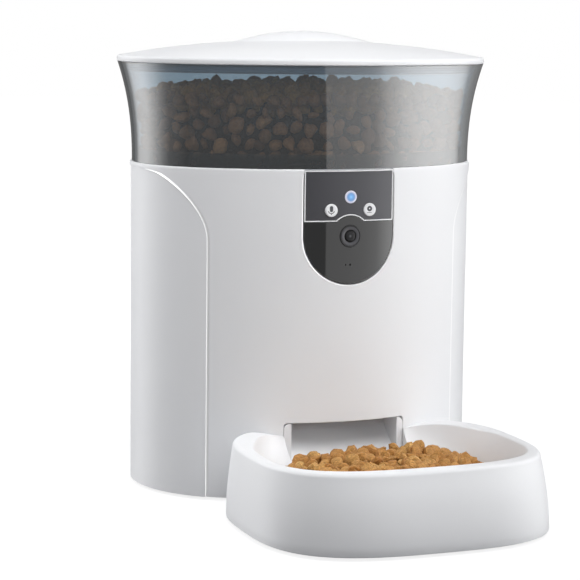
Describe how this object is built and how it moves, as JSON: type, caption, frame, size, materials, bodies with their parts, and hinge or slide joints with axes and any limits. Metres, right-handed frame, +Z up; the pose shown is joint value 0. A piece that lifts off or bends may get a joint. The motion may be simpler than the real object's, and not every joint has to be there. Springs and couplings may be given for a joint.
{
  "type": "automatic pet feeder",
  "caption": "Oval pet feeder with a smoked flared hopper under a domed lid, a dark camera panel, a front chute and a pull-out food bowl; a geared paddle rotor meters the food.",
  "frame": {"origin": "middle of the whole plan, bowl included, on the floor", "axes": "+Z up; the camera panel and the bowl face -Y; +X is the viewer's right when looking at the front"},
  "size_m": [0.2468, 0.3254, 0.2953],
  "materials": {
    "white_abs": "smooth gloss",
    "pale_abs": "fine satin",
    "foot_rubber": "matt",
    "screw_steel": "plated",
    "black_gloss": "high gloss",
    "dark_gloss": "satin gloss",
    "trim_grey": "satin",
    "light_blue": "lit diffuser",
    "black_satin": "satin",
    "lens_glass": "polished",
    "board_green": "solder mask",
    "grey_nylon": "moulded",
    "bush_bronze": "sintered",
    "motor_steel": "plated can",
    "smoked_clear": "polished, smoked and see-through",
    "seal_silicone": "soft satin",
    "gear_acetal": "moulded",
    "pinion_brass": "cut",
    "button_white": "satin gloss"
  },
  "bodies": {
    "housing": {"front_shell": "white_abs", "rear_shell": "white_abs", "top_collar": "white_abs", "base_cover": "pale_abs", "rubber_feet": "foot_rubber", "base_screws": "screw_steel", "camera_window": "black_gloss", "control_panel": "dark_gloss", "panel_trim": "trim_grey", "status_light": "light_blue", "lens_ring": "black_satin", "lens_glass": "lens_glass", "camera_barrel": "black_satin", "camera_board": "board_green", "microphone": "screw_steel", "panel_board": "board_green", "tact_switches": "black_satin", "chute": "white_abs", "gearbox_case": "grey_nylon", "gearbox_deck": "grey_nylon", "deck_screws": "screw_steel", "shaft_bush": "bush_bronze", "idler_axle": "screw_steel", "drive_motor": "motor_steel", "main_board": "board_green", "board_parts": "black_satin", "speaker": "black_satin", "battery_box": "pale_abs", "battery_springs": "screw_steel", "battery_plates": "screw_steel", "dc_jack": "black_satin"},
    "hopper": {"hopper": "smoked_clear", "outlet_baffle": "grey_nylon"},
    "lid": {"lid": "white_abs", "lid_seal": "seal_silicone", "desiccant_box": "pale_abs", "desiccant_cover": "pale_abs"},
    "rotor": {"rotor_hub": "pale_abs", "rotor_paddles": "seal_silicone", "rotor_clip": "screw_steel"},
    "drive": {"drive_shaft": "screw_steel", "output_gear": "gear_acetal"},
    "idler": {"idler_gear": "gear_acetal"},
    "pinion": {"motor_shaft": "screw_steel", "motor_pinion": "pinion_brass"},
    "bowl": {"bowl": "white_abs", "bowl_feet": "foot_rubber"},
    "feed_button": {"feed_button": "button_white"},
    "record_button": {"record_button": "button_white"},
    "battery_door": {"battery_door": "pale_abs"}
  },
  "joints": [
    {"name": "hopper_lift", "type": "slide", "parent": "housing", "child": "hopper", "axis": [0, 0, 1], "range_m": [0, 0.12]},
    {"name": "lid_lift", "type": "slide", "parent": "hopper", "child": "lid", "axis": [0, 0, 1], "range_m": [0, 0.09]},
    {"name": "rotor_spin", "type": "hinge", "parent": "hopper", "child": "rotor", "pos_m": [0, 0.0683, 0.115], "axis": [0, 0, 1], "continuous": true},
    {"name": "drive_spin", "type": "hinge", "parent": "housing", "child": "drive", "pos_m": [0, 0.0683, 0.09], "axis": [0, 0, 1], "continuous": true},
    {"name": "idler_spin", "type": "hinge", "parent": "housing", "child": "idler", "pos_m": [0, 0.0923, 0.09], "axis": [0, 0, 1], "continuous": true},
    {"name": "pinion_spin", "type": "hinge", "parent": "housing", "child": "pinion", "pos_m": [0.024, 0.0923, 0.09], "axis": [0, 0, 1], "continuous": true},
    {"name": "bowl_pull", "type": "slide", "parent": "housing", "child": "bowl", "axis": [0, -1, 0], "range_m": [0, 0.12]},
    {"name": "feed_press", "type": "slide", "parent": "housing", "child": "feed_button", "axis": [0, 1, 0], "range_m": [0, 0.0007], "stiffness_N_per_m": 400, "springref_m": -0.001},
    {"name": "record_press", "type": "slide", "parent": "housing", "child": "record_button", "axis": [0, 1, 0], "range_m": [0, 0.0007], "stiffness_N_per_m": 400, "springref_m": -0.001},
    {"name": "door_slide", "type": "slide", "parent": "housing", "child": "battery_door", "axis": [0, 1, 0], "range_m": [0, 0.005]}
  ],
  "couplings": [
    {"joint": "drive_spin", "follows": "rotor_spin", "ratio": 1},
    {"joint": "idler_spin", "follows": "rotor_spin", "ratio": -3},
    {"joint": "pinion_spin", "follows": "rotor_spin", "ratio": 9}
  ]
}
